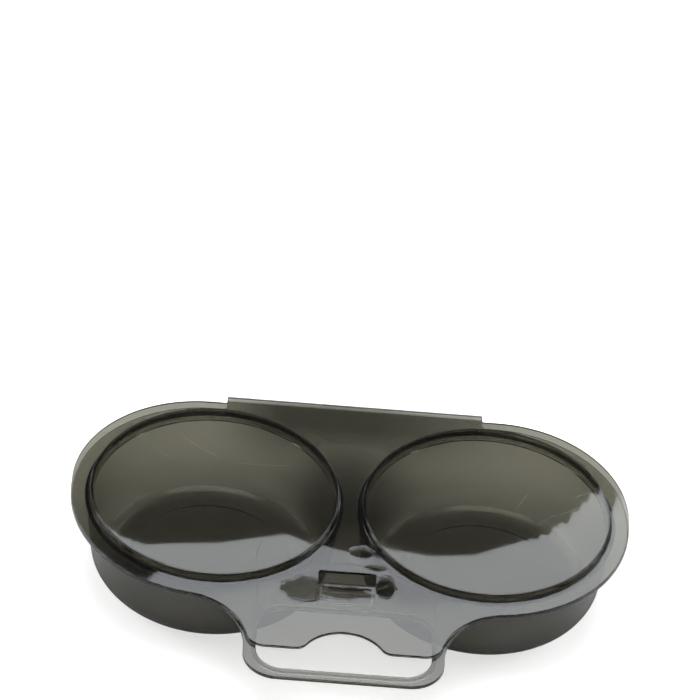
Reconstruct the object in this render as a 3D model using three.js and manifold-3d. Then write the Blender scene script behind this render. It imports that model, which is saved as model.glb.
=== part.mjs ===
// Microwave egg cooker: a clamshell moulding with two egg cups under one hinged lid.
// Millimetres, +Z up. X runs along the pair of cups, the handle points to -Y, the hinge is at +Y.
// The origin is at the middle of the footprint, on the surface that the cups stand on.
import * as THREE from 'three';
import { mergeVertices } from 'three/addons/utils/BufferGeometryUtils.js';
import Module from 'manifold-3d';

const wasm = await Module();
wasm.setup();

// Egg cups
const cupGap = 5.2;
const cupHeight = 33.1;
const cupRimRadius = 46;
const cupWall = 1.4;
const cupFloor = 1.6;
const cupDraft = THREE.MathUtils.degToRad(6.8);
const cupBottomRound = 10.5;
const rimRound = 0.5;
const footWidth = 4;
const footRise = 0.9;

// Flange and handle of the base
const flangeWidth = 6.8;
const flangeThickness = 1.5;
const shoulderRadius = 48.8;
const backStep = 0.6;
const handleHalfWidth = 35.9;
const handleReach = 92.5;
const handleCorner = 12.5;
const handleBar = 4.5;
const neckRadius = 25.5;

// Finger opening, latch hole and the ribs under the handle plate
const openingDepth = 31.8;
const openingCorner = 10;
const latchWidth = 19.4;
const latchDepth = 10.4;
const latchBridge = 3.4;
const latchCorner = 1.2;
const ribThickness = 1.5;
const ribDepth = 2;

// Lid plate and its flap
const lidThickness = 1.2;
const lidSeatGap = 0.3;
const lidInset = 0.6;
const lidForward = 2;
const lidBackInset = 4.7;
const lidShoulderInset = 4;
const flapSideInset = 1.4;
const flapSetback = 9.6;
const flapCorner = 7;
const notchRadius = 16;
const notchDepth = 9.5;
const notchCorner = 5;

// Raised discs of the lid and the lips that plug into the cups
const discInset = 0.1;
const discStep = 2.2;
const discDraft = 0.5;
const discEdgeRound = 0.8;
const discCrown = 0.4;
const lipClearance = 0.4;
const lipDraft = 0.3;
const lipDepth = 2.2;

// Snap hook under the lid and the window above it
const hookSideClearance = 0.7;
const hookEdgeClearance = 0.3;
const hookThickness = 1.6;
const hookBarb = 1.3;
const hookBarbHeight = 2.2;
const hookNose = 0.5;
const windowDepth = 6.9;
const windowSideMargin = 1.4;
const windowLipHeight = 0.5;

// Living hinge
const hingeEndInset = 2;
const hingeLandStep = 1.1;
const hingeEndRound = 1.6;
const hingeThickness = 0.5;

// Facets
const roundSegments = 60;
const outlineStep = THREE.MathUtils.degToRad(5);
const sectionStep = THREE.MathUtils.degToRad(18);
const crownSteps = 3;

// Levels and reaches that follow from the sizes above, measured from the line through the cup centres
const cupX = cupRimRadius + cupWall + cupGap / 2;
const flangeTop = cupHeight;
const flangeBottom = flangeTop - flangeThickness;
const flangeRadius = cupRimRadius + flangeWidth;
const ribBottom = flangeBottom - ribDepth;
const lidBottom = flangeTop + lidSeatGap;
const lidTop = lidBottom + lidThickness;
const lidRadius = flangeRadius - lidInset;
const lidShoulderRadius = lidRadius - lidShoulderInset;
const lipRadius = cupRimRadius - lipClearance;
const openingHalf = handleHalfWidth - handleBar;
const openingFront = -handleReach + handleBar;
const openingBack = openingFront + openingDepth;
const latchFront = openingBack + latchBridge;
const latchBack = latchFront + latchDepth;
const backY = flangeRadius + backStep;
const hingeLandY = backY + hingeLandStep;
const hingeHalfLength = cupX - hingeEndInset;
const foldRadius = (lidTop - flangeBottom) / 2;
const foldZ = (lidTop + flangeBottom) / 2;
const cupLineY = (handleReach - hingeLandY - foldRadius) / 2;

// Solids

function solidFrom(geometry) {
  geometry.deleteAttribute('normal');
  geometry.deleteAttribute('uv');
  const merged = mergeVertices(geometry, 1e-4);
  const index = merged.index.array;
  const triangles = [];
  for (let i = 0; i < index.length; i += 3) {
    const [a, b, c] = index.slice(i, i + 3);
    if (a !== b && b !== c && c !== a) {
      triangles.push(a, b, c);
    }
  }
  return new wasm.Manifold(new wasm.Mesh({
    numProp: 3,
    vertProperties: new Float32Array(merged.attributes.position.array),
    triVerts: new Uint32Array(triangles),
  }));
}

function geometryFrom(solid) {
  const mesh = solid.getMesh();
  const geometry = new THREE.BufferGeometry();
  geometry.setAttribute('position', new THREE.BufferAttribute(mesh.vertProperties, 3));
  geometry.setIndex(new THREE.BufferAttribute(mesh.triVerts, 1));
  geometry.computeVertexNormals();
  return geometry;
}

function slab(shape, bottom, top) {
  const geometry = new THREE.ExtrudeGeometry(shape, { depth: top - bottom, bevelEnabled: false });
  return solidFrom(geometry.translate(0, 0, bottom));
}

function revolved(profile, x) {
  const geometry = new THREE.LatheGeometry(profile, roundSegments);
  return solidFrom(geometry.rotateX(Math.PI / 2).translate(x, 0, 0));
}

function alongX(profile, halfLength) {
  const geometry = new THREE.ExtrudeGeometry(profile, { depth: 2 * halfLength, bevelEnabled: false });
  const sectionToWorld = new THREE.Matrix4().set(0, 0, 1, -halfLength, 1, 0, 0, 0, 0, 1, 0, 0, 0, 0, 0, 1);
  return solidFrom(geometry.applyMatrix4(sectionToWorld));
}

function joined(solids) {
  return solids.reduce((whole, solid) => whole.add(solid));
}

// Outlines

function point(x, y) {
  return new THREE.Vector2(x, y);
}

function arc(centre, radius, from, to, step = outlineStep) {
  const steps = Math.max(2, Math.ceil(Math.abs(to - from) / step));
  return Array.from({ length: steps + 1 }, (_, i) => {
    const angle = from + ((to - from) * i) / steps;
    return point(centre.x + radius * Math.cos(angle), centre.y + radius * Math.sin(angle));
  });
}

function angleTo(from, to) {
  return Math.atan2(to.y - from.y, to.x - from.x);
}

function fullAngleTo(from, to) {
  return (angleTo(from, to) + 2 * Math.PI) % (2 * Math.PI);
}

function roundedRectangle(left, front, right, back, radius) {
  const corners = [[right, back, 0], [left, back, 1], [left, front, 2], [right, front, 3]];
  return corners.flatMap(([x, y, quarter]) => {
    const centreX = x === left ? left + radius : right - radius;
    const centreY = y === front ? front + radius : back - radius;
    return arc(point(centreX, centreY), radius, (quarter * Math.PI) / 2, ((quarter + 1) * Math.PI) / 2);
  });
}

function circle(x, radius) {
  const turn = { length: roundSegments };
  return Array.from(turn, (_, i) => {
    const angle = (i / roundSegments) * 2 * Math.PI;
    return point(x + radius * Math.cos(angle), radius * Math.sin(angle));
  });
}

function mirrored(points) {
  return points.map((p) => point(-p.x, p.y));
}

function withoutRepeats(points) {
  return points.filter((p, i) => p.distanceTo(points[(i + 1) % points.length]) > 1e-4);
}

function shapeOf(outline, holes = []) {
  const shape = new THREE.Shape(withoutRepeats(outline));
  shape.holes = holes.map((hole) => new THREE.Path(withoutRepeats(hole)));
  return shape;
}

// Right half of a handle or flap: front corner, then the S-shaped neck up to the round lobe.
function neckSide({ lobe, lobeRadius, halfWidth, reach, corner }) {
  const neckX = halfWidth + neckRadius;
  const neck = point(neckX, lobe.y - Math.sqrt((lobeRadius + neckRadius) ** 2 - (neckX - lobe.x) ** 2));
  const cornerY = corner - reach;
  const cornerX = neck.x - Math.sqrt((neckRadius + corner) ** 2 - (cornerY - neck.y) ** 2);
  const front = point(cornerX, cornerY);
  const points = [
    ...arc(front, corner, -Math.PI / 2, angleTo(front, neck)),
    ...arc(neck, neckRadius, fullAngleTo(neck, front), fullAngleTo(neck, lobe)),
  ];
  return { points, lobeFrom: angleTo(lobe, neck) };
}

function bothSides(right) {
  return [...right, ...mirrored(right).reverse()];
}

// Base tray

function baseOutline() {
  const lobe = point(cupX, 0);
  const neck = neckSide({
    lobe,
    lobeRadius: flangeRadius,
    halfWidth: handleHalfWidth,
    reach: handleReach,
    corner: handleCorner,
  });
  const shoulder = point(cupX + flangeRadius - shoulderRadius, backY - shoulderRadius);
  const stepRound = hingeLandStep / 2;
  const step = point(hingeHalfLength + stepRound, backY + stepRound);
  return bothSides([
    ...neck.points,
    ...arc(lobe, flangeRadius, neck.lobeFrom, 0),
    ...arc(shoulder, shoulderRadius, 0, Math.PI / 2),
    ...arc(step, stepRound, 1.5 * Math.PI, Math.PI, sectionStep),
    point(hingeHalfLength, hingeLandY),
  ]);
}

function cupProfile() {
  const depthTaper = Math.tan(cupDraft);
  const outerRadius = (z) => cupRimRadius + cupWall - (flangeTop - z) * depthTaper;
  const innerRound = cupBottomRound - cupWall;
  const outer = point(outerRadius(cupBottomRound) - cupBottomRound / Math.cos(cupDraft), cupBottomRound);
  const inner = point(outer.x, cupFloor + innerRound);
  const rim = point(cupRimRadius + rimRound, flangeTop - rimRound);
  const raisedFloor = footRise + cupFloor;
  const footInnerRadius = outer.x - footWidth;
  return [
    point(0, footRise),
    point(footInnerRadius - footRise / 2, footRise),
    point(footInnerRadius, 0),
    ...arc(outer, cupBottomRound, -Math.PI / 2, -cupDraft, sectionStep),
    point(outerRadius(flangeBottom), flangeBottom),
    point(cupRimRadius + cupWall, flangeTop),
    ...arc(rim, rimRound, Math.PI / 2, Math.PI, 2 * sectionStep),
    ...arc(inner, innerRound, -cupDraft, -Math.PI / 2, sectionStep),
    point(footInnerRadius - cupFloor / 2, cupFloor),
    point(footInnerRadius - cupFloor / 2 - footRise / 2, raisedFloor),
    point(0, raisedFloor),
  ];
}

function cupHollow() {
  const mouth = cupRimRadius + cupWall / 2;
  const floor = cupFloor + footRise;
  return [point(0, floor), point(mouth, floor), point(mouth, flangeTop), point(0, flangeTop)];
}

function openingOutline(margin) {
  const half = openingHalf + margin;
  return roundedRectangle(-half, openingFront - margin, half, openingBack + margin, openingCorner + margin);
}

function latchOutline(margin) {
  const half = latchWidth / 2 + margin;
  return roundedRectangle(-half, latchFront - margin, half, latchBack + margin, latchCorner + margin);
}

function baseTray() {
  const boreRadius = cupRimRadius + cupWall / 2;
  const bores = [circle(-cupX, boreRadius), circle(cupX, boreRadius)];
  const plateShape = shapeOf(baseOutline(), [...bores, openingOutline(0), latchOutline(0)]);
  const plate = slab(plateShape, flangeBottom, flangeTop);
  const ribTop = flangeBottom + flangeThickness / 2;
  const lips = [openingOutline, latchOutline].map((around) => {
    return slab(shapeOf(around(ribThickness), [around(0)]), ribBottom, ribTop);
  });
  const webs = [-1, 1].map((side) => {
    const near = side * openingHalf;
    const far = side * (openingHalf + ribThickness);
    const foot = shapeOf([
      point(Math.min(near, far), openingBack - openingCorner),
      point(Math.max(near, far), openingBack - openingCorner),
      point(Math.max(near, far), 0),
      point(Math.min(near, far), 0),
    ]);
    return slab(foot, ribBottom, ribTop).subtract(revolved(cupHollow(), side * cupX));
  });
  const cups = [-cupX, cupX].map((x) => revolved(cupProfile(), x));
  const latchCut = slab(shapeOf(latchOutline(0)), ribBottom - 1, flangeTop + 1);
  const openingCut = slab(shapeOf(openingOutline(0)), ribBottom - 1, flangeTop + 1);
  return joined([plate, ...lips, ...webs, ...cups]).subtract(latchCut).subtract(openingCut);
}

// Lid

function discProfile() {
  const radius = cupRimRadius - discInset;
  const lipFoot = point(lipRadius - lipDraft, flangeTop - lipDepth);
  const edgeTop = lidTop + discStep;
  const capRadius = (radius ** 2 + discCrown ** 2) / (2 * discCrown);
  const crownZ = (r) => edgeTop + discCrown - capRadius + Math.sqrt(capRadius ** 2 - r ** 2);
  const inner = radius - lidThickness;
  const rounded = radius - discEdgeRound;
  const edge = point(rounded, edgeTop - discEdgeRound);
  const along = (from, to) => Array.from({ length: crownSteps + 1 }, (_, i) => {
    return from + ((to - from) * i) / crownSteps;
  });
  return [
    ...along(0, inner).map((r) => point(r, crownZ(r) - lidThickness)),
    point(lipFoot.x - lidThickness, lipFoot.y),
    lipFoot,
    point(lipRadius, lidBottom),
    point(radius + discDraft, lidBottom),
    point(radius + discDraft, lidTop),
    ...arc(edge, discEdgeRound, 0, Math.PI / 2, 2 * sectionStep).slice(0, -1),
    ...along(rounded, 0).map((r) => point(r, crownZ(r))),
  ];
}

function hookProfile(back) {
  const catchZ = ribBottom - hookEdgeClearance;
  const tipZ = catchZ - hookBarbHeight;
  const nose = back + hookBarb;
  const front = back - hookThickness;
  const root = lidTop + windowLipHeight;
  return shapeOf([
    point(front, root),
    point(front, tipZ),
    point(back, tipZ),
    point(nose, catchZ - hookNose),
    point(nose, catchZ),
    point(back, catchZ),
    point(back, root),
  ]);
}

function notchSide(reach) {
  const top = notchDepth - reach;
  const centre = point(0, top - notchRadius);
  const lift = notchCorner - reach - centre.y;
  const corner = point(Math.sqrt((notchRadius + notchCorner) ** 2 - lift ** 2), notchCorner - reach);
  return [
    ...arc(centre, notchRadius, Math.PI / 2, angleTo(centre, corner)),
    ...arc(corner, notchCorner, angleTo(corner, centre), -Math.PI / 2),
  ];
}

function lidOutline() {
  const lobe = point(cupX, -lidForward);
  const flapReach = -openingFront - flapSetback;
  const neck = neckSide({
    lobe,
    lobeRadius: lidRadius,
    halfWidth: handleHalfWidth - flapSideInset,
    reach: flapReach,
    corner: flapCorner,
  });
  const shoulder = point(cupX + lidRadius - lidShoulderRadius, backY - lidBackInset - lidShoulderRadius);
  const endX = hingeHalfLength + hingeEndRound;
  const endReach = Math.sqrt((lidShoulderRadius + hingeEndRound) ** 2 - (endX - shoulder.x) ** 2);
  const end = point(endX, shoulder.y + endReach);
  return bothSides([
    ...notchSide(flapReach),
    ...neck.points,
    ...arc(lobe, lidRadius, neck.lobeFrom, 0),
    ...arc(shoulder, lidShoulderRadius, 0, angleTo(shoulder, end)),
    ...arc(end, hingeEndRound, fullAngleTo(end, shoulder), Math.PI),
    point(hingeHalfLength, hingeLandY),
  ]);
}

function lid() {
  const boreRadius = lipRadius - lidThickness / 2;
  const bores = [circle(-cupX, boreRadius), circle(cupX, boreRadius)];
  const hookHalf = latchWidth / 2 - hookSideClearance;
  const hookBack = latchBack - hookEdgeClearance - hookBarb;
  const windowHalf = hookHalf + windowSideMargin;
  const window = roundedRectangle(-windowHalf, hookBack, windowHalf, hookBack + windowDepth, latchCorner);
  const plate = slab(shapeOf(lidOutline(), [...bores, window]), lidBottom, lidTop);
  const discs = [-cupX, cupX].map((x) => revolved(discProfile(), x));
  const hook = alongX(hookProfile(hookBack), hookHalf);
  return joined([plate, ...discs, hook]);
}

// Living hinge: a thin strip folded half round from the underside of the base to the top of the lid

function hingeWeb() {
  const fold = point(hingeLandY, foldZ);
  const outside = arc(fold, foldRadius, -Math.PI / 2, Math.PI / 2, sectionStep);
  const inside = arc(fold, foldRadius - hingeThickness, Math.PI / 2, -Math.PI / 2, sectionStep);
  return alongX(shapeOf([...outside, ...inside]), hingeHalfLength);
}

// Assembly

function subPart(name, solid, colour, roughness) {
  const material = new THREE.MeshStandardMaterial({ color: colour, roughness, metalness: 0 });
  const mesh = new THREE.Mesh(geometryFrom(solid), material);
  mesh.name = name;
  return mesh;
}

const eggCooker = new THREE.Group();
eggCooker.position.set(0, cupLineY, 0);
eggCooker.add(
  subPart('base_tray', baseTray(), 0x6b6a5e, 0.16),
  subPart('lid', lid(), 0x64645c, 0.12),
  subPart('hinge_web', hingeWeb(), 0x8a897b, 0.22),
);

export default eggCooker;
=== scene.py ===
import math

import bpy
from mathutils import Matrix, Vector
from mathutils.geometry import delaunay_2d_cdt

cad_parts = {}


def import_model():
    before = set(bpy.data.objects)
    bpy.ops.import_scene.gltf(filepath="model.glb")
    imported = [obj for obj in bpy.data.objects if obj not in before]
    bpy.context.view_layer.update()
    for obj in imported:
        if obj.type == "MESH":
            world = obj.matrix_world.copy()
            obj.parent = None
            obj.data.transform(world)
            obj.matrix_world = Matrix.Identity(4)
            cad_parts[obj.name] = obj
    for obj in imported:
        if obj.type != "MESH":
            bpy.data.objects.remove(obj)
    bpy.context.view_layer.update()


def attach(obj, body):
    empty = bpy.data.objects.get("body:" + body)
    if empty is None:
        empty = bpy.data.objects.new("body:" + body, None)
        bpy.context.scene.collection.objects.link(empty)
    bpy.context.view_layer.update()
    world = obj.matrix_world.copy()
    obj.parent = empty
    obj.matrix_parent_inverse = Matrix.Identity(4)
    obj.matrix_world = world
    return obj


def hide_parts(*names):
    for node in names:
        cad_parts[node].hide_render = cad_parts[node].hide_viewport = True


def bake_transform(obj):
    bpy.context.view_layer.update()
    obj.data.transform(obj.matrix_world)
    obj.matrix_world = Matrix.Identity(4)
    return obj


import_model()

# Sizes in millimetres, with y counted from the line through the cup centres
# They follow the CAD part, apart from the lid's back corners, the lips and the discs' draft
MM = 0.001
CUP_LINE_Y = 18.25
CUP_X = 50.0
CUP_RIM = 46.0
CUP_WALL = 1.4
CUP_FLOOR = 1.6
CUP_DRAFT = math.radians(6.8)
BOTTOM_ROUND = 10.5
RIM_ROUND = 0.5
FOOT_RISE = 0.9
FOOT_WIDTH = 4.0
FLANGE_TOP = 33.1
FLANGE_BOTTOM = 31.6
FLANGE_RADIUS = 52.8
SHOULDER_RADIUS = 48.8
BACK_Y = 53.4
LAND_Y = 54.5
LAND_HALF = 48.0
HANDLE_HALF = 35.9
HANDLE_REACH = 92.5
HANDLE_CORNER = 12.5
NECK_RADIUS = 25.5
OPENING = (-31.4, -88.0, 31.4, -56.2)
OPENING_CORNER = 10.0
LATCH = (-9.7, -52.8, 9.7, -42.4)
LATCH_CORNER = 1.2
RIB = 1.5
RIB_BOTTOM = 29.6
LIP_UNDER_OPENING = 30.8
LID_BOTTOM = 33.4
LID_TOP = 34.6
LID_RADIUS = 52.2
LID_FORWARD = 2.0
LID_SHOULDER = 50.0
LID_BACK = 48.2
LID_END_ROUND = 1.6
LID_END_CORNER = 0.5
FLAP_HALF = 34.5
FLAP_REACH = 78.4
FLAP_CORNER = 7.0
NOTCH_RADIUS = 16.0
NOTCH_DEPTH = 9.5
NOTCH_CORNER = 5.0
DISC_RADIUS = 45.9
DISC_DRAFT = 0.25
DISC_ROUND = 0.8
DISC_ROOT = 0.1
DISC_TOP = 36.8
DISC_CROWN = 0.4
LID_WALL = 1.2
LIP_RADIUS = 45.6
LIP_DRAFT = 0.3
LIP_BOTTOM = 30.9
LIP_WALL = 1.0
WINDOW = (-10.4, -44.0, 10.4, -37.1)
HOOK_HALF = 9.0
HOOK_FRONT = -46.0
HOOK_BACK = -44.4
HOOK_NOSE = -43.1
HOOK_NOSE_HEIGHT = 0.5
HOOK_CATCH = 29.3
HOOK_TIP = 27.1
RIDGE_TOP = 35.1
RIDGE_CORNER = 0.6
FOLD_Z = 33.1
FOLD_RADIUS = 1.5
STRIP = 0.5

# Worked out from these sizes: the outside of the cups' rounded bottom and the foot ring
WALL_SLOPE = math.tan(CUP_DRAFT)
BOTTOM_RADIUS = CUP_RIM + CUP_WALL - (FLANGE_TOP - BOTTOM_ROUND) * WALL_SLOPE
BOTTOM_CENTRE = BOTTOM_RADIUS - BOTTOM_ROUND / math.cos(CUP_DRAFT)
FOOT_INNER = BOTTOM_CENTRE - FOOT_WIDTH

# Roundings and gaps that only show in the looks
BASE_EDGE = 0.15
LID_EDGE = 0.35
SMALL_EDGE = 0.25
HOLE_EDGE = 0.12
LIP_EDGE = 0.05
JOIN_EDGE = 0.03
RIDGE_EDGE = 0.49
CUP_FILLET = 0.6
WEB_GAP = 0.05
STRIP_GAP = 0.02
STRIP_SIDE_GAP = 0.05

# Fineness of the meshes
TURN = 160
ARC_STEP = math.radians(3)
STRIP_STEPS = 16
SMALL_STEPS = 4
INSIDE_STEPS = 20
OUTSIDE_STEPS = 24
WELD_DIGITS = 4
SAME_POINT = 1e-4
CUT_TOLERANCE = 1e-6
NEAR = 0.01
FACING_BACK = 0.99
DIAGONAL = math.sqrt(0.5)


def add_object(name, data):
    obj = bpy.data.objects.new(name, data)
    bpy.context.scene.collection.objects.link(obj)
    return obj


class Shell:
    """Faces with a normal at each corner; points that coincide are welded."""

    def __init__(self):
        self.points = []
        self.found = {}
        self.faces = []
        self.normals = []

    def vertex(self, p):
        key = tuple(round(c, WELD_DIGITS) for c in p)
        if key not in self.found:
            self.found[key] = len(self.points)
            self.points.append(p)
        return self.found[key]

    def face(self, corners):
        kept = []
        for p, n in corners:
            index = self.vertex(p)
            if all(index != k for k, _ in kept):
                kept.append((index, n))
        if len(kept) < 3:
            return
        area = Vector((0, 0, 0))
        first = Vector(self.points[kept[0][0]])
        for (a, _), (b, _) in zip(kept[1:], kept[2:]):
            area += (Vector(self.points[a]) - first).cross(Vector(self.points[b]) - first)
        facing = sum((Vector(n) for _, n in kept), Vector((0, 0, 0)))
        if area.dot(facing) < 0:
            kept.reverse()
        self.faces.append([k for k, _ in kept])
        self.normals.extend(tuple(Vector(n).normalized()) for _, n in kept)

    def build(self, name):
        mesh = bpy.data.meshes.new(name)
        placed = [(x * MM, (y + CUP_LINE_Y) * MM, z * MM) for x, y, z in self.points]
        mesh.from_pydata(placed, [], self.faces)
        mesh.polygons.foreach_set("use_smooth", [True] * len(mesh.polygons))
        mesh.normals_split_custom_set(self.normals)
        mesh.update()
        return add_object(name, mesh)


def arc(cx, cy, radius, start, end, side=1, step=ARC_STEP):
    """Points of an arc with their outward normals; side is 1 where it bulges and -1 where it is hollow."""
    count = max(2, math.ceil(abs(end - start) / step))
    points = []
    for i in range(count + 1):
        angle = start + (end - start) * i / count
        c, s = math.cos(angle), math.sin(angle)
        points.append((cx + radius * c, cy + radius * s, side * c, side * s))
    return points


def angle_to(a, b, full=False):
    """Direction from a to b, if full counted from 0 to a whole turn."""
    angle = math.atan2(b[1] - a[1], b[0] - a[0])
    return angle % (2 * math.pi) if full else angle


def closed(points):
    """Outline without points that coincide with the next one."""
    following = points[1:] + points[:1]
    return [p for p, q in zip(points, following) if math.dist(p[:2], q[:2]) > SAME_POINT]


def both_sides(right):
    """Whole outline from its right half."""
    left = [(-x, y, -nx, ny) for x, y, nx, ny in reversed(right)]
    return closed(right + left)


def rounded_box(box, radius, margin=0.0, side=1):
    """Outline of a box with round corners, widened by a margin."""
    left, front, right, back = box
    r = radius + margin
    corners = [
        (right - radius, back - radius, 0),
        (left + radius, back - radius, 1),
        (left + radius, front + radius, 2),
        (right - radius, front + radius, 3),
    ]
    points = []
    for cx, cy, quarter in corners:
        points += arc(cx, cy, r, quarter * math.pi / 2, (quarter + 1) * math.pi / 2, step=ARC_STEP * 2)
    return closed([(x, y, side * nx, side * ny) for x, y, nx, ny in points])


def circle(x, radius):
    turns = [2 * math.pi * i / TURN for i in range(TURN)]
    return [(x + radius * math.cos(a), radius * math.sin(a), math.cos(a), math.sin(a)) for a in turns]


def offset(outline, distance):
    return [(x + distance * nx, y + distance * ny, nx, ny) for x, y, nx, ny in outline]


def plate_edge(shell, outline, top, bottom, edge, strip_above):
    """Rounded edge of a plate, at the hinge only on the side inside the fold. Returns both loops."""
    wide = top - bottom - 2 * JOIN_EDGE
    uppers, lowers = [], []
    for x, y, _, ny in outline:
        upper, lower = edge, edge
        if ny > FACING_BACK and y > LAND_Y - NEAR and abs(x) < LAND_HALF:
            upper, lower = (JOIN_EDGE, wide) if strip_above else (wide, JOIN_EDGE)
        uppers.append(upper)
        lowers.append(lower)
    sweep(shell, outline, [rounded_wall(u, top, bottom, w) for u, w in zip(uppers, lowers)])
    upper_loop = [offset([p], -u)[0] for p, u in zip(outline, uppers)]
    lower_loop = [offset([p], -w)[0] for p, w in zip(outline, lowers)]
    return upper_loop, lower_loop


def neck_side(lobe, lobe_radius, half, reach, corner):
    """Right front of a plate up to its lobe, and the angle where the lobe begins."""
    neck_x = half + NECK_RADIUS
    neck_drop = math.sqrt((lobe_radius + NECK_RADIUS) ** 2 - (neck_x - lobe[0]) ** 2)
    neck = (neck_x, lobe[1] - neck_drop)
    corner_y = corner - reach
    corner_in = math.sqrt((NECK_RADIUS + corner) ** 2 - (corner_y - neck[1]) ** 2)
    front = (neck_x - corner_in, corner_y)
    points = arc(*front, corner, -math.pi / 2, angle_to(front, neck))
    points += arc(*neck, NECK_RADIUS, angle_to(neck, front, True), angle_to(neck, lobe, True), -1)
    return points, angle_to(lobe, neck)


def base_outline():
    """Flange, neck and handle seen from above."""
    lobe = (CUP_X, 0.0)
    points, lobe_from = neck_side(lobe, FLANGE_RADIUS, HANDLE_HALF, HANDLE_REACH, HANDLE_CORNER)
    points += arc(*lobe, FLANGE_RADIUS, lobe_from, 0)
    shoulder_x = CUP_X + FLANGE_RADIUS - SHOULDER_RADIUS
    points += arc(shoulder_x, BACK_Y - SHOULDER_RADIUS, SHOULDER_RADIUS, 0, math.pi / 2)
    step = (LAND_Y - BACK_Y) / 2
    points += arc(LAND_HALF + step, BACK_Y + step, step, 1.5 * math.pi, math.pi, -1, 6 * ARC_STEP)
    points += arc(LAND_HALF - step, LAND_Y - step, step, 0, math.pi / 2, 1, 6 * ARC_STEP)
    return both_sides(points)


def lid_outline():
    """Flap with its notch, neck, lobes and back corners seen from above."""
    top = NOTCH_DEPTH - FLAP_REACH
    notch = (0.0, top - NOTCH_RADIUS)
    lift = NOTCH_CORNER - FLAP_REACH - notch[1]
    corner = (math.sqrt((NOTCH_RADIUS + NOTCH_CORNER) ** 2 - lift**2), NOTCH_CORNER - FLAP_REACH)
    points = arc(*notch, NOTCH_RADIUS, math.pi / 2, angle_to(notch, corner), -1)
    points += arc(*corner, NOTCH_CORNER, angle_to(corner, notch), -math.pi / 2)
    lobe = (CUP_X, -LID_FORWARD)
    side, lobe_from = neck_side(lobe, LID_RADIUS, FLAP_HALF, FLAP_REACH, FLAP_CORNER)
    points += side
    end_x = LAND_HALF + LID_END_ROUND
    shoulder = (CUP_X + LID_RADIUS - LID_SHOULDER, LID_BACK - LID_SHOULDER)
    end_rise = math.sqrt((LID_SHOULDER + LID_END_ROUND) ** 2 - (end_x - shoulder[0]) ** 2)
    end = (end_x, shoulder[1] + end_rise)
    points += arc(*lobe, LID_RADIUS, lobe_from, 0)
    points += arc(*shoulder, LID_SHOULDER, 0, angle_to(shoulder, end))
    points += arc(*end, LID_END_ROUND, angle_to(end, shoulder, True), math.pi, -1, 3 * ARC_STEP)
    r = LID_END_CORNER
    points += arc(LAND_HALF - r, LAND_Y - r, r, 0, math.pi / 2, 1, 6 * ARC_STEP)
    return both_sides(points)


def rounded_wall(radius_top, z_top, z_bottom, radius_bottom, steps=SMALL_STEPS):
    """Section of a wall from top to bottom: offset, height and the two parts of its normal."""
    section = []
    for i in range(steps + 1):
        a = math.pi / 2 * (1 - i / steps)
        c, s = math.cos(a), math.sin(a)
        section.append((radius_top * (c - 1), z_top + radius_top * (s - 1), c, s))
    for i in range(steps + 1):
        a = -math.pi / 2 * i / steps
        c, s = math.cos(a), math.sin(a)
        section.append((radius_bottom * (c - 1), z_bottom + radius_bottom * (s + 1), c, s))
    return section


def sweep(shell, outline, sections):
    """Wall along an outline: one section for all its points, or one section for each of them."""
    count = len(outline)
    if isinstance(sections[0], tuple):
        sections = [sections] * count
    rows = []
    for (x, y, nx, ny), section in zip(outline, sections):
        rows.append([((x + out * nx, y + out * ny, z), (c * nx, c * ny, s)) for out, z, c, s in section])
    for a, b in zip(rows, rows[1:] + rows[:1]):
        for i in range(len(a) - 1):
            shell.face([a[i], b[i], b[i + 1], a[i + 1]])


def inside(x, y, loop):
    """Whether a point lies within a loop."""
    odd = False
    for (ax, ay), (bx, by) in zip(loop, loop[1:] + loop[:1]):
        if (ay > y) != (by > y) and x < ax + (y - ay) * (bx - ax) / (by - ay):
            odd = not odd
    return odd


def flat(shell, loops, z, up):
    """Level face between loops: an odd count of loops round a point means material."""
    plain = [[(p[0], p[1]) for p in loop] for loop in loops]
    points, edges = [], []
    for loop in plain:
        first = len(points)
        points += loop
        edges += [(first + i, first + (i + 1) % len(loop)) for i in range(len(loop))]
    corners_2d = [Vector(p) for p in points]
    _, _, faces, origins, _, _ = delaunay_2d_cdt(corners_2d, edges, [], 0, CUT_TOLERANCE)
    normal = (0, 0, 1 if up else -1)
    for face in faces:
        corners = [points[origins[v][0]] for v in face]
        x = sum(c[0] for c in corners) / len(corners)
        y = sum(c[1] for c in corners) / len(corners)
        if sum(inside(x, y, loop) for loop in plain) % 2:
            shell.face([((cx, cy, z), normal) for cx, cy in corners])


def lathe(shell, x, pieces):
    """Turned surface from runs of (radius, height, radial part and upright part of the normal)."""
    turns = [2 * math.pi * i / TURN for i in range(TURN + 1)]
    for run in pieces:
        for low, high in zip(run, run[1:]):
            for a, b in zip(turns, turns[1:]):
                corners = []
                for angle, (r, z, nr, nz) in ((a, low), (b, low), (b, high), (a, high)):
                    c, s = math.cos(angle), math.sin(angle)
                    corners.append(((x + r * c, r * s, z), (nr * c, nr * s, nz)))
                shell.face(corners)


def bend(cr, cz, radius, start, end, side=1, steps=8):
    """Rounded run of a turned section."""
    points = []
    for i in range(steps + 1):
        a = start + (end - start) * i / steps
        c, s = math.cos(a), math.sin(a)
        points.append((cr + radius * c, cz + radius * s, side * c, side * s))
    return points


def straight(a, b, side=1):
    """Straight run of a turned section."""
    length = math.dist(a, b)
    nr, nz = side * (b[1] - a[1]) / length, -side * (b[0] - a[0]) / length
    return [(a[0], a[1], nr, nz), (b[0], b[1], nr, nz)]


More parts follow.
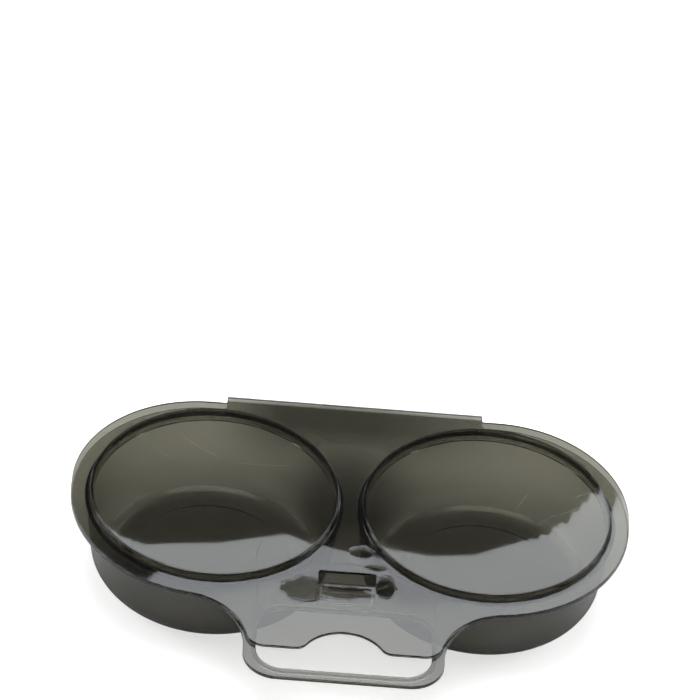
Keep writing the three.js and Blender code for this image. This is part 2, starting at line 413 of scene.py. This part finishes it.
def cup_inside():
    """Section of a cup's inside, from its rim to the middle of its floor."""
    inner_round = BOTTOM_ROUND - CUP_WALL
    centre_z = CUP_FLOOR + inner_round
    raised = CUP_FLOOR + FOOT_RISE
    lower = FOOT_INNER - CUP_FLOOR / 2
    upper = lower - FOOT_RISE / 2
    rim = bend(CUP_RIM + RIM_ROUND, FLANGE_TOP - RIM_ROUND, RIM_ROUND, math.pi / 2, math.pi)
    bottom = bend(BOTTOM_CENTRE, centre_z, inner_round, -CUP_DRAFT, -math.pi / 2, -1, INSIDE_STEPS)
    wall = straight((CUP_RIM, FLANGE_TOP - RIM_ROUND), bottom[0][:2])
    return [
        rim,
        wall,
        bottom,
        straight((BOTTOM_CENTRE, CUP_FLOOR), (lower, CUP_FLOOR), 1),
        straight((lower, CUP_FLOOR), (upper, raised), 1),
        straight((upper, raised), (0, raised), 1),
    ]


def cup_root():
    """Radius where the fillet of a cup's wall meets the underside of the flange."""
    wall_height = FLANGE_TOP - FLANGE_BOTTOM + CUP_FILLET
    return CUP_RIM + CUP_WALL - wall_height * WALL_SLOPE + CUP_FILLET


def cup_outside():
    """Section of a cup's outside, from the flange to the middle of its foot."""
    fillet = bend(cup_root(), FLANGE_BOTTOM - CUP_FILLET, CUP_FILLET, math.pi / 2, math.pi, -1)
    bottom = bend(BOTTOM_CENTRE, BOTTOM_ROUND, BOTTOM_ROUND, -CUP_DRAFT, -math.pi / 2, 1, OUTSIDE_STEPS)
    return [
        fillet,
        straight(fillet[-1][:2], bottom[0][:2], -1),
        bottom,
        straight((BOTTOM_CENTRE, 0), (FOOT_INNER, 0), -1),
        straight((FOOT_INNER, 0), (FOOT_INNER - FOOT_RISE / 2, FOOT_RISE), -1),
        straight((FOOT_INNER - FOOT_RISE / 2, FOOT_RISE), (0, FOOT_RISE), -1),
    ]


def rib_outline():
    """Lip round the finger opening together with the two webs that run from it to the cups."""
    _, front, right, back = OPENING
    r = OPENING_CORNER
    outer = right + RIB
    cup = cup_root() + WEB_GAP
    web_near = -math.sqrt(cup**2 - (CUP_X - right) ** 2)
    web_far = -math.sqrt(cup**2 - (CUP_X - outer) ** 2)
    meet = math.acos(r / (r + RIB))
    points = arc(right - r, front + r, r + RIB, -math.pi / 2, 0)
    points += [(outer, web_far - WEB_GAP, 1, 0), (outer, web_far, DIAGONAL, DIAGONAL)]
    points += [(right, web_near, -DIAGONAL, DIAGONAL), (right, web_near - WEB_GAP, -1, 0)]
    points += arc(right - r, back - r, r + RIB, meet, math.pi / 2)
    return both_sides(points)


def hole(shell, box, corner, z_top, z_bottom, edge):
    """Wall of a hole through a plate. Returns the loop where it meets the flat faces."""
    outline = rounded_box(box, corner, side=-1)
    sweep(shell, outline, rounded_wall(edge, z_top, z_bottom, edge))
    return offset(outline, -edge)


def base_shell():
    shell = Shell()
    outline = base_outline()
    rim, under_rim = plate_edge(shell, outline, FLANGE_TOP, FLANGE_BOTTOM, BASE_EDGE, False)
    opening = hole(shell, OPENING, OPENING_CORNER, FLANGE_TOP, LIP_UNDER_OPENING, HOLE_EDGE)
    latch = hole(shell, LATCH, LATCH_CORNER, FLANGE_TOP, RIB_BOTTOM, HOLE_EDGE)
    mouths = [circle(x, CUP_RIM + RIM_ROUND) for x in (-CUP_X, CUP_X)]
    flat(shell, [rim, opening, latch, *mouths], FLANGE_TOP, True)
    roots = [circle(x, cup_root()) for x in (-CUP_X, CUP_X)]
    rib = rib_outline()
    latch_rib = rounded_box(LATCH, LATCH_CORNER, RIB)
    flat(shell, [under_rim, rib, latch_rib, *roots], FLANGE_BOTTOM, False)
    for loop, mouth, foot in ((rib, opening, LIP_UNDER_OPENING), (latch_rib, latch, RIB_BOTTOM)):
        sweep(shell, loop, [(0, FLANGE_BOTTOM, 1, 0), (0, foot, 1, 0)])
        flat(shell, [loop, mouth], foot, False)
    for x in (-CUP_X, CUP_X):
        lathe(shell, x, cup_inside())
        lathe(shell, x, cup_outside())
    return shell.build("base_shell")


def crown(radius, top, steps=10):
    """Gently domed face from its edge to its middle."""
    cap = (DISC_RADIUS**2 + DISC_CROWN**2) / (2 * DISC_CROWN)
    run = []
    for i in range(steps + 1):
        r = radius * (1 - i / steps)
        drop = math.sqrt(cap**2 - r**2)
        run.append((r, top + DISC_CROWN - cap + drop, r / cap, drop / cap))
    return run


def disc_outside():
    """Top of a disc, from the lid's plate over its rounded edge to its middle."""
    edge = DISC_RADIUS - DISC_ROUND
    foot = DISC_RADIUS + DISC_DRAFT
    crown_run = crown(edge, DISC_TOP)
    level = crown_run[0][1]
    return [
        bend(foot + DISC_ROOT, LID_TOP + DISC_ROOT, DISC_ROOT, -math.pi / 2, -math.pi, -1, SMALL_STEPS),
        straight((foot, LID_TOP + DISC_ROOT), (DISC_RADIUS, level - DISC_ROUND), 1),
        bend(edge, level - DISC_ROUND, DISC_ROUND, 0, math.pi / 2),
        crown_run,
    ]


def disc_inside():
    """Underside of a disc and the lip round it that plugs into the cup."""
    inner = DISC_RADIUS - LID_WALL
    run = [(r, z, -nr, -nz) for r, z, nr, nz in crown(inner, DISC_TOP - LID_WALL)]
    edge = LIP_EDGE
    low = LIP_BOTTOM + edge
    outside = LIP_RADIUS - LIP_DRAFT
    inside_foot = outside - LIP_WALL
    return [
        straight((LIP_RADIUS, LID_BOTTOM), (outside, low), -1),
        bend(outside - edge, low, edge, 0, -math.pi / 2, 1, SMALL_STEPS),
        straight((outside - edge, LIP_BOTTOM), (inside_foot + edge, LIP_BOTTOM), -1),
        bend(inside_foot + edge, low, edge, -math.pi / 2, -math.pi, 1, SMALL_STEPS),
        straight((inside_foot, low), (inner, run[0][1]), -1),
        run,
    ]


def hook(shell):
    """Snap hook under the lid's ridge, with a nose that points to the back."""
    section = [
        (HOOK_FRONT, LID_BOTTOM),
        (HOOK_FRONT, HOOK_TIP),
        (HOOK_BACK, HOOK_TIP),
        (HOOK_NOSE, HOOK_CATCH - HOOK_NOSE_HEIGHT),
        (HOOK_NOSE, HOOK_CATCH),
        (HOOK_BACK, HOOK_CATCH),
        (HOOK_BACK, LID_BOTTOM),
    ]
    for (ay, az), (by, bz) in zip(section, section[1:]):
        normal = (0, bz - az, ay - by)
        corners = ((-HOOK_HALF, ay, az), (HOOK_HALF, ay, az), (HOOK_HALF, by, bz), (-HOOK_HALF, by, bz))
        shell.face([(p, normal) for p in corners])
    for side in (-1, 1):
        shell.face([((side * HOOK_HALF, y, z), (side, 0, 0)) for y, z in section])


def lid_shell():
    shell = Shell()
    outline = lid_outline()
    rim, under_rim = plate_edge(shell, outline, LID_TOP, LID_BOTTOM, LID_EDGE, True)
    window = hole(shell, WINDOW, LATCH_CORNER, LID_TOP, LID_BOTTOM, SMALL_EDGE)
    ridge_box = (-HOOK_HALF, HOOK_FRONT, HOOK_HALF, HOOK_BACK)
    ridge = rounded_box(ridge_box, RIDGE_CORNER)
    sweep(shell, ridge, rounded_wall(RIDGE_EDGE, RIDGE_TOP, LID_TOP, 0))
    flat(shell, [offset(ridge, -RIDGE_EDGE)], RIDGE_TOP, True)
    feet = [circle(x, DISC_RADIUS + DISC_DRAFT + DISC_ROOT) for x in (-CUP_X, CUP_X)]
    flat(shell, [rim, window, ridge, *feet], LID_TOP, True)
    hollows = [circle(x, LIP_RADIUS) for x in (-CUP_X, CUP_X)]
    left, front, right, back = ridge_box
    hook_foot = [(left, front), (right, front), (right, back), (left, back)]
    flat(shell, [under_rim, window, hook_foot, *hollows], LID_BOTTOM, False)
    hook(shell)
    for x in (-CUP_X, CUP_X):
        lathe(shell, x, disc_outside())
        lathe(shell, x, disc_inside())
    return shell.build("lid_shell")


def hinge_shell():
    """Strip that folds over from the base's back edge to the lid's."""
    shell = Shell()
    half = LAND_HALF - STRIP_SIDE_GAP
    turns = [math.pi * (i / STRIP_STEPS - 0.5) for i in range(STRIP_STEPS + 1)]
    rows = []
    for radius, side in ((FOLD_RADIUS, 1), (FOLD_RADIUS - STRIP, -1)):
        row = [(LAND_Y + STRIP_GAP + radius * math.cos(a), FOLD_Z + radius * math.sin(a)) for a in turns]
        normals = [(0, side * math.cos(a), side * math.sin(a)) for a in turns]
        for i in range(STRIP_STEPS):
            corners = ((-half, i), (half, i), (half, i + 1), (-half, i + 1))
            shell.face([((x, *row[k]), normals[k]) for x, k in corners])
        rows.append(row)
    outer, inner = rows
    for end in (0, -1):
        corners = ((-half, outer[end]), (half, outer[end]), (half, inner[end]), (-half, inner[end]))
        shell.face([((x, *place), (0, -1, 0)) for x, place in corners])
    for x in (-half, half):
        for i in range(STRIP_STEPS):
            quad = (outer[i], outer[i + 1], inner[i + 1], inner[i])
            shell.face([((x, *place), (x, 0, 0)) for place in quad])
    return shell.build("hinge_strip")


# Materials

ABSORB_COLOUR = (0.3333, 0.3190, 0.2143, 1.0)
ABSORB_DENSITY = 1050.0
LID_DENSITY = 0.78 * ABSORB_DENSITY
PLASTIC_WHITE = (0.97, 0.97, 0.97, 1.0)
PLASTIC_IOR = 1.49
BASE_ROUGHNESS = 0.04
LID_ROUGHNESS = 0.02
STRIP_ROUGHNESS = 0.3

# Waves, grain and hairlines all over the plastic, with heights in metres
WAVE_SCALE = 38.0
WAVE_DETAIL = 1.0
WAVE_HEIGHT = 0.000006
GRAIN_SCALE = 900.0
GRAIN_DETAIL = 3.0
GRAIN_SPREAD = (0.6, 1.5)
HAIR_TURN = (0.0, 0.0, 0.6)
HAIR_SCALE = (60.0, 2400.0, 60.0)
HAIR_DETAIL = 2.0
HAIR_LEVELS = (0.74, 0.8)
HAIR_STRENGTH = 0.02
HAIR_HEIGHT = 0.000004
HAIR_ROUGHNESS = 0.02

# Ejector rings on the flange, four round each cup, in millimetres
EJECTOR_REACH = 34.8
EJECTOR_RADIUS = 2.65
EJECTOR_LINE = 0.3
EJECTOR_HEIGHT = 0.08
EJECTOR_MARKS = [(CUP_X + EJECTOR_REACH * i, EJECTOR_REACH * j) for i in (-1, 1) for j in (-1, 1)]

# Sink marks round the latch: middle x and y and the two radii in millimetres
SINK_MARKS = (
    (-15.2, -47.6, 8.6, 6.6),
    (14.0, -43.8, 3.9, 6.2),
    (-0.5, -48.2, 10.4, 3.6),
    (10.2, -33.7, 4.4, 1.7),
    (4.8, -26.0, 4.6, 3.4),
)
WINDOW_SINK = (0.0, -39.0, 15.0, 7.0)
SINK_TILT = 0.035
SINK_EDGE = (1.45, 1.2)
WINDOW_SINK_EDGE = (1.1, 0.95)
SINK_FUZZ = 0.7
SINK_FUZZ_SCALE = 260.0
SINK_FUZZ_DETAIL = 3.0

# Lean of the lid's front, and the levels between which its top face lies, in millimetres
FRONT_TILT = 0.0100
LEAN_Y = -21.0
LEAN_BLEND = 8.0
LEAN_SIDES = (80.0, 56.0)
FACE_FROM = (33.9, 34.3)
FACE_TO = (35.8, 35.2)

# Satin on the cups' outsides: its roughness low and high on the wall, and levels in millimetres
FROSTED_LOW = 0.5
FROSTED = 0.3
FROST_FADE = (3.0, 12.0)
FROST_FROM = (0.2, 4.5)
FROST_TO = (31.2, 30.0)

# Scratches on the discs: middle x and y, direction in degrees, half length, bend per mm, half width
SCRATCHES = (
    (-57.0, 22.6, -37.0, 12.5, -0.004, 0.20),
    (-32.0, 15.1, 2.5, 17.0, -0.0045, 0.13),
    (-70.0, 17.0, -35.0, 4.0, 0.004, 0.12),
    (-33.0, -32.0, 80.0, 5.0, 0.006, 0.12),
    (22.0, -31.0, 105.0, 6.0, 0.004, 0.12),
    (33.0, -34.0, 120.0, 7.0, 0.006, 0.10),
    (63.0, 6.0, 65.0, 8.0, 0.003, 0.10),
    (72.0, -3.0, 40.0, 7.0, 0.003, 0.12),
    (80.0, 2.0, 35.0, 6.0, 0.002, 0.16),
    (85.0, 12.0, 30.0, 4.0, 0.002, 0.18),
)
SCRATCH_FROM = (36.0, 36.4)
SCRATCH_ENDS = 0.4
SCRATCH_ROUGHNESS = 0.45


class Nodes:
    """Short way to wire shader nodes."""

    def __init__(self, tree):
        self.tree = tree
        tree.nodes.clear()

    def add(self, kind, inputs=None, **settings):
        node = self.tree.nodes.new(kind)
        for key, value in settings.items():
            setattr(node, key, value)
        for key, value in (inputs or {}).items():
            socket = node.inputs[key]
            if isinstance(value, bpy.types.NodeSocket):
                self.tree.links.new(value, socket)
            else:
                socket.default_value = value
        return node

    def math(self, operation, a, b=0.0, c=0.0):
        return self.add("ShaderNodeMath", {0: a, 1: b, 2: c}, operation=operation).outputs[0]

    def length(self, a, b):
        return self.math("SQRT", self.math("ADD", self.math("MULTIPLY", a, a), self.math("MULTIPLY", b, b)))

    def noise(self, where, scale, detail):
        inputs = {"Vector": where, "Scale": scale, "Detail": detail}
        return self.add("ShaderNodeTexNoise", inputs).outputs[0]

    def ramp(self, value, low, high, start, end):
        """Even change from start, where the value is low, to end, where it is high."""
        ends = {"Value": value, "From Min": low, "From Max": high, "To Min": start, "To Max": end}
        return self.add("ShaderNodeMapRange", ends).outputs[0]

    def band(self, value, low, high):
        """Smooth change from 0, where the value is low, to 1, where it is high."""
        ends = {"Value": value, "From Min": low, "From Max": high}
        return self.add("ShaderNodeMapRange", ends, interpolation_type="SMOOTHSTEP").outputs[0]


def new_material(name):
    material = bpy.data.materials.new(name)
    material.use_nodes = True
    return material, Nodes(material.node_tree)


def metres(lengths):
    return [value * MM for value in lengths]


def cup_line_place(n, where):
    """Place on the moulding in metres, with y counted from the cup line."""
    axes = n.add("ShaderNodeSeparateXYZ", {0: where}).outputs
    return axes["X"], n.math("SUBTRACT", axes["Y"], CUP_LINE_Y * MM), axes["Z"]


def distance(n, x, y, place, radii=(1.0, 1.0)):
    """Distance from a place, as a multiple of the two radii in metres."""
    across = n.math("MULTIPLY", n.math("SUBTRACT", x, place[0] * MM), 1 / radii[0])
    along = n.math("MULTIPLY", n.math("SUBTRACT", y, place[1] * MM), 1 / radii[1])
    return n.length(across, along)


def sink_mark(n, x, y, mark, edge, fuzz=0.0):
    """Height of a sink mark: inside its oval the face leans back."""
    px, py, *radii = mark
    away = n.math("ADD", distance(n, x, y, (px, py), metres(radii)), n.math("MULTIPLY", fuzz, SINK_FUZZ))
    fall = n.math("MULTIPLY", n.math("SUBTRACT", py * MM, y), SINK_TILT)
    return n.math("MULTIPLY", fall, n.band(away, *edge))


def base_relief(n, where):
    """Shallow rings that the ejector pins left on the flange, and a sink mark under the lid's window."""
    x, y, _ = cup_line_place(n, where)
    x = n.math("ABSOLUTE", x)
    rings = 0.0
    for place in EJECTOR_MARKS:
        away = n.math("SUBTRACT", distance(n, x, y, place), EJECTOR_RADIUS * MM)
        rings = n.math("ADD", rings, n.band(n.math("ABSOLUTE", away), EJECTOR_LINE * MM, 0.0))
    height = n.math("MULTIPLY", rings, EJECTOR_HEIGHT * MM)
    return n.math("ADD", height, sink_mark(n, x, y, WINDOW_SINK, WINDOW_SINK_EDGE))


def lid_relief(n, where):
    """The plate leans forward in front of the discs and has sink marks round the latch."""
    x, y, z = cup_line_place(n, where)
    fuzz = n.noise(where, SINK_FUZZ_SCALE, SINK_FUZZ_DETAIL)
    lean = n.math("SMOOTH_MIN", n.math("SUBTRACT", y, LEAN_Y * MM), 0.0, LEAN_BLEND * MM)
    flap_side = n.band(n.math("ABSOLUTE", x), *metres(LEAN_SIDES))
    height = n.math("MULTIPLY", n.math("MULTIPLY", lean, flap_side), FRONT_TILT)
    for mark in SINK_MARKS:
        height = n.math("ADD", height, sink_mark(n, x, y, mark, SINK_EDGE, fuzz))
    on_face = n.math("MULTIPLY", n.band(z, *metres(FACE_TO)), n.band(z, *metres(FACE_FROM)))
    return n.math("MULTIPLY", height, on_face)


def cup_frost(n, where):
    """Satin on the outsides of the cups, which is where a point lies beyond the middle of the wall."""
    x, y, z = cup_line_place(n, where)
    r = n.length(n.math("SUBTRACT", n.math("ABSOLUTE", x), CUP_X * MM), y)
    middle = (CUP_RIM + CUP_WALL / 2 - FLANGE_TOP * WALL_SLOPE) * MM
    wall = n.math("SUBTRACT", r, n.math("MULTIPLY_ADD", z, WALL_SLOPE, middle))
    round_r = n.math("MAXIMUM", n.math("SUBTRACT", r, BOTTOM_CENTRE * MM), 0.0)
    round_z = n.math("MINIMUM", n.math("SUBTRACT", z, BOTTOM_ROUND * MM), 0.0)
    bottom = n.math("SUBTRACT", n.length(round_r, round_z), (BOTTOM_ROUND - CUP_WALL / 2) * MM)
    low = n.math("LESS_THAN", z, BOTTOM_ROUND * MM)
    upper = n.math("MULTIPLY", wall, n.math("SUBTRACT", 1.0, low))
    outside = n.math("GREATER_THAN", n.math("MULTIPLY_ADD", bottom, low, upper), 0.0)
    on_wall = n.math("MULTIPLY", n.band(z, *metres(FROST_TO)), n.band(z, *metres(FROST_FROM)))
    level = n.ramp(z, *metres(FROST_FADE), FROSTED_LOW, FROSTED)
    return n.math("MULTIPLY", n.math("MULTIPLY", outside, on_wall), level)


def lid_scratches(n, where):
    """Fine scratches on the discs that scatter the light."""
    x, y, z = cup_line_place(n, where)
    marks = 0.0
    for cx, cy, degrees, half, bow, width in SCRATCHES:
        c, s = math.cos(math.radians(degrees)), math.sin(math.radians(degrees))
        dx = n.math("SUBTRACT", x, cx * MM)
        dy = n.math("SUBTRACT", y, cy * MM)
        along = n.math("ADD", n.math("MULTIPLY", dx, c), n.math("MULTIPLY", dy, s))
        across = n.math("SUBTRACT", n.math("MULTIPLY", dy, c), n.math("MULTIPLY", dx, s))
        bent = n.math("ADD", across, n.math("MULTIPLY", n.math("MULTIPLY", along, along), bow / MM))
        line = n.band(n.math("ABSOLUTE", bent), width * MM, 0.0)
        ends = n.band(n.math("ABSOLUTE", along), half * MM, half * MM * SCRATCH_ENDS)
        marks = n.math("MAXIMUM", marks, n.math("MULTIPLY", line, ends))
    on_disc = n.band(z, *metres(SCRATCH_FROM))
    return n.math("MULTIPLY", n.math("MULTIPLY", marks, on_disc), SCRATCH_ROUGHNESS)


def hairlines(n, where):
    """Faint lines that all run one way."""
    stretched = n.add("ShaderNodeMapping", {"Vector": where, "Rotation": HAIR_TURN, "Scale": HAIR_SCALE})
    return n.band(n.noise(stretched.outputs[0], 1.0, HAIR_DETAIL), *HAIR_LEVELS)


def bump(n, height, strength, reach, under=None):
    inputs = {"Height": height, "Strength": strength, "Distance": reach}
    if under is not None:
        inputs["Normal"] = under
    return n.add("ShaderNodeBump", inputs).outputs[0]


def smoky_plastic(name, density, roughness, relief=None, wear=None):
    """Clear plastic that darkens with thickness; relief adds to its height, wear to its roughness."""
    material, n = new_material(name)
    where = n.add("ShaderNodeTexCoord").outputs["Object"]
    hair = hairlines(n, where)
    height = n.math("MULTIPLY", n.noise(where, WAVE_SCALE, WAVE_DETAIL), WAVE_HEIGHT)
    if relief:
        height = n.math("ADD", height, relief(n, where))
    normal = bump(n, hair, HAIR_STRENGTH, HAIR_HEIGHT, bump(n, height, 1.0, 1.0))
    grain = n.noise(where, GRAIN_SCALE, GRAIN_DETAIL)
    rough = n.ramp(grain, 0.0, 1.0, *(roughness * share for share in GRAIN_SPREAD))
    rough = n.math("MULTIPLY_ADD", hair, HAIR_ROUGHNESS, rough)
    if wear:
        rough = n.math("ADD", rough, wear(n, where))
    shader = n.add(
        "ShaderNodeBsdfPrincipled",
        {
            "Base Color": PLASTIC_WHITE,
            "Roughness": rough,
            "IOR": PLASTIC_IOR,
            "Transmission Weight": 1.0,
            "Normal": normal,
        },
    )
    absorb = n.add("ShaderNodeVolumeAbsorption", {"Color": ABSORB_COLOUR, "Density": density})
    n.add("ShaderNodeOutputMaterial", {"Surface": shader.outputs[0], "Volume": absorb.outputs[0]})
    return material


# Stage and light, in metres and watts

WHITE = (1.0, 1.0, 1.0, 1.0)
FLOOR_HALF = 6.0
FLOOR_DROP = 0.0002
FLOOR_GRAIN = 40.0
FLOOR_SHADES = (0.79, 0.81)
FLOOR_GLOW = 0.16
SIGHT_GLOW = 0.44

# Painted shade on the floor behind the hinge and between the cups, seen only through the plastic, in
# millimetres:
# left, front, right and back end, and how softly the left and the front begin
PAINTED_SHADE_PATCHES = (
    (-40.0, 68.0, 80.0, 250.0, 16.0),
    (-16.0, 24.0, 34.0, 130.0, 12.0),
)
# How much of the floor's colour and glow the painted shade takes away
PAINTED_SHADE_DEPTH = 0.74

# Softboxes: name, place, target, width, height and power
SOFTBOXES = (
    ("overhead", (0.0, -0.1, 1.9), (0.0, 0.0, 0.0), 1.4, 0.8, 20.0),
    ("side_left", (-1.3, 0.2, 0.8), (0.0, 0.02, 0.0), 1.0, 0.9, 9.5),
    ("side_right", (1.3, 0.2, 0.8), (0.0, 0.02, 0.0), 1.0, 0.9, 9.5),
)

# Bright card behind and above the object, with its lower edge from left to right
CARD_ELEVATION = 50.0
CARD_DISTANCE = 1.2
CARD_AIM_Z = 0.036
CARD_COLOUR = (0.90, 0.94, 1.0, 1.0)
CARD_RADIANCE = 4.1
CARD_TOP = 0.30
CARD_HALF = 0.5
CARD_EDGE = (
    (-0.150, -0.112),
    (-0.138, -0.140),
    (-0.126, -0.129),
    (-0.105, -0.121),
    (-0.042, -0.129),
    (0.012, -0.145),
    (0.036, -0.135),
    (0.070, -0.131),
    (0.105, -0.136),
    (0.150, -0.158),
)
CARD_END = (0.220, -0.300)

# Torn right end of that edge: its steps, how unevenly they follow and how the edge falls along them
TORN_STEPS = 7
TORN_STEP = 0.008
TORN_START = 0.003
TORN_SWING = 0.45
TORN_BEAT = 2.4
TORN_TREAD = 0.6
TORN_LIFT = 0.001
TORN_FALL = 0.6
TORN_CURVE = 12.0

# Sky: its level overhead, what the horizon adds, and the heights between which that fades
SKY_LEVEL = 0.1
HORIZON_GLOW = 0.7
HORIZON_HEIGHTS = (0.40, 0.26)


def floor_glow(n):
    """White of the floor for rays that show the background: straight, mirrored or through the plastic."""
    path = n.add("ShaderNodeLightPath").outputs
    shown = n.math("MAXIMUM", path["Is Glossy Ray"], path["Is Transmission Ray"])
    shown = n.math("MAXIMUM", shown, path["Is Camera Ray"])
    straight_on = n.math("MULTIPLY", path["Is Camera Ray"], SIGHT_GLOW)
    return n.math("MULTIPLY_ADD", shown, FLOOR_GLOW, straight_on)


def floor_painted_shade(n):
    """Share of the floor's colour and glow left under the patches of painted shade behind the hinge and
    between the cups, which only the plastic shows.
    """
    x, y, _ = cup_line_place(n, n.add("ShaderNodeTexCoord").outputs["Object"])
    cover = 0.0
    for left, front, right, back, soft in PAINTED_SHADE_PATCHES:
        from_left = n.band(x, *metres((left - soft, left + soft)))
        from_front = n.band(y, *metres((front - soft, front + soft)))
        across = n.math("MULTIPLY", from_left, n.band(x, right * MM, 0.0))
        along = n.math("MULTIPLY", from_front, n.band(y, back * MM, front * MM))
        cover = n.math("MAXIMUM", cover, n.math("MULTIPLY", across, along))
    through = n.add("ShaderNodeLightPath").outputs["Is Transmission Ray"]
    taken = n.math("MULTIPLY", n.math("MULTIPLY", cover, through), PAINTED_SHADE_DEPTH)
    return n.math("SUBTRACT", 1.0, taken)


def floor_material():
    material, n = new_material("white_floor")
    grain = n.add("ShaderNodeTexNoise", {"Scale": FLOOR_GRAIN}).outputs[0]
    # Painted shade darkens the floor's colour and glow under those patches, for rays through the plastic
    # only
    painted_shade_factor = floor_painted_shade(n)
    shade = n.math("MULTIPLY", n.ramp(grain, 0.0, 1.0, *FLOOR_SHADES), painted_shade_factor)
    colour = n.add("ShaderNodeCombineColor", {0: shade, 1: shade, 2: shade}).outputs[0]
    diffuse = n.add("ShaderNodeBsdfDiffuse", {"Color": colour})
    glow = n.math("MULTIPLY", floor_glow(n), painted_shade_factor)
    emission = n.add("ShaderNodeEmission", {"Color": WHITE, "Strength": glow})
    both = n.add("ShaderNodeAddShader", {0: diffuse.outputs[0], 1: emission.outputs[0]})
    n.add("ShaderNodeOutputMaterial", {"Surface": both.outputs[0]})
    return material


def floor():
    mesh = bpy.data.meshes.new("floor")
    corners = [(i * FLOOR_HALF, j * FLOOR_HALF, 0) for i, j in ((-1, -1), (1, -1), (1, 1), (-1, 1))]
    mesh.from_pydata(corners, [], [(0, 1, 2, 3)])
    mesh.materials.append(floor_material())
    obj = add_object("floor", mesh)
    obj.location.z = -FLOOR_DROP


def softbox(name, place, target, width, height, power):
    light = bpy.data.lights.new(name, "AREA")
    light.shape = "RECTANGLE"
    light.size = width
    light.size_y = height
    light.energy = power
    obj = add_object(name, light)
    obj.location = place
    obj.rotation_euler = (Vector(target) - Vector(place)).to_track_quat("-Z", "Y").to_euler()


def card_edge():
    """Lower edge of the card from left to right; the right end falls away in uneven steps."""
    points = list(CARD_EDGE)
    start, level = CARD_EDGE[-1]
    past = TORN_START
    for i in range(TORN_STEPS):
        step = TORN_STEP * (1 + TORN_SWING * math.sin(TORN_BEAT * i))
        low = level - TORN_FALL * past - TORN_CURVE * past**2
        points += [(start + past, low), (start + past + TORN_TREAD * step, low + TORN_LIFT)]
        past += step
    return [*points, CARD_END]


def card_material():
    material, n = new_material("card_light")
    emission = n.add("ShaderNodeEmission", {"Color": CARD_COLOUR, "Strength": CARD_RADIANCE})
    n.add("ShaderNodeOutputMaterial", {"Surface": emission.outputs[0]})
    return material


def reflecting_card():
    """Card whose lower edge draws the edge of the sheen on the lid."""
    e = math.radians(CARD_ELEVATION)
    middle = Vector((0, CARD_DISTANCE * math.cos(e), CARD_AIM_Z + CARD_DISTANCE * math.sin(e)))
    rise = Vector((0, -math.sin(e), math.cos(e)))
    outline = [(-CARD_HALF, CARD_EDGE[0][1]), *card_edge(), (CARD_HALF, CARD_END[1])]
    outline += [(CARD_HALF, CARD_TOP), (-CARD_HALF, CARD_TOP)]
    points = [middle + Vector((u, 0, 0)) + rise * v for u, v in outline]
    mesh = bpy.data.meshes.new("card")
    mesh.from_pydata(points, [], [tuple(range(len(points)))])
    mesh.materials.append(card_material())
    obj = add_object("card", mesh)
    obj.visible_camera = False


def world():
    """White behind the object for the camera, and a dim sky over a brighter horizon for the rest."""
    scene = bpy.context.scene
    scene.world = bpy.data.worlds.new("studio")
    scene.world.use_nodes = True
    n = Nodes(scene.world.node_tree)
    path = n.add("ShaderNodeLightPath").outputs
    direction = n.add("ShaderNodeTexCoord").outputs["Generated"]
    height = n.add("ShaderNodeSeparateXYZ", {0: direction}).outputs["Z"]
    level = n.math("MULTIPLY_ADD", n.band(height, *HORIZON_HEIGHTS), HORIZON_GLOW, SKY_LEVEL)
    strength = n.math("MAXIMUM", level, path["Is Camera Ray"])
    background = n.add("ShaderNodeBackground", {"Color": WHITE, "Strength": strength})
    n.add("ShaderNodeOutputWorld", {"Surface": background.outputs[0]})


# Camera fitted to the photograph: angles in degrees, place in metres
CAMERA_AZIMUTH = 1.82989
CAMERA_ELEVATION = 39.88971
CAMERA_ROLL = 5.55219
CAMERA_EYE = (-0.04955, -1.35213, 1.25395)
FOCAL_PIXELS = 5000.0
PHOTO_PIXELS = 700.0
SENSOR_WIDTH = 36.0
CLIP_END = 50.0


def camera():
    """Camera with the photograph's view."""
    az, el, roll = (math.radians(v) for v in (CAMERA_AZIMUTH, CAMERA_ELEVATION, CAMERA_ROLL))
    forward = Vector((math.sin(az) * math.cos(el), math.cos(az) * math.cos(el), -math.sin(el)))
    right = Vector((math.cos(az), -math.sin(az), 0))
    up = right.cross(forward)
    across = math.cos(roll) * right + math.sin(roll) * up
    upward = -math.sin(roll) * right + math.cos(roll) * up
    data = bpy.data.cameras.new("camera")
    data.sensor_width = SENSOR_WIDTH
    data.lens = FOCAL_PIXELS * SENSOR_WIDTH / PHOTO_PIXELS
    data.clip_end = CLIP_END
    obj = add_object("camera", data)
    rotation = Matrix((across, upward, -forward)).transposed().to_4x4()
    obj.matrix_world = Matrix.Translation(CAMERA_EYE) @ rotation
    bpy.context.scene.camera = obj


# The three pieces; the base and the lid go on their bodies

base = base_shell()
smoky_base = smoky_plastic("smoky_base", ABSORB_DENSITY, BASE_ROUGHNESS, base_relief, cup_frost)
base.data.materials.append(smoky_base)
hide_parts("base_tray")
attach(base, "base")

lid = lid_shell()
smoky_lid = smoky_plastic("smoky_lid", LID_DENSITY, LID_ROUGHNESS, lid_relief, lid_scratches)
lid.data.materials.append(smoky_lid)
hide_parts("lid")
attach(lid, "lid")

strip = hinge_shell()
strip.data.materials.append(smoky_plastic("smoky_hinge", ABSORB_DENSITY, STRIP_ROUGHNESS))
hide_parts("hinge_web")
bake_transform(strip)

# The stage

floor()
for box in SOFTBOXES:
    softbox(*box)
reflecting_card()
world()
camera()
bpy.context.scene.view_settings.view_transform = "Standard"
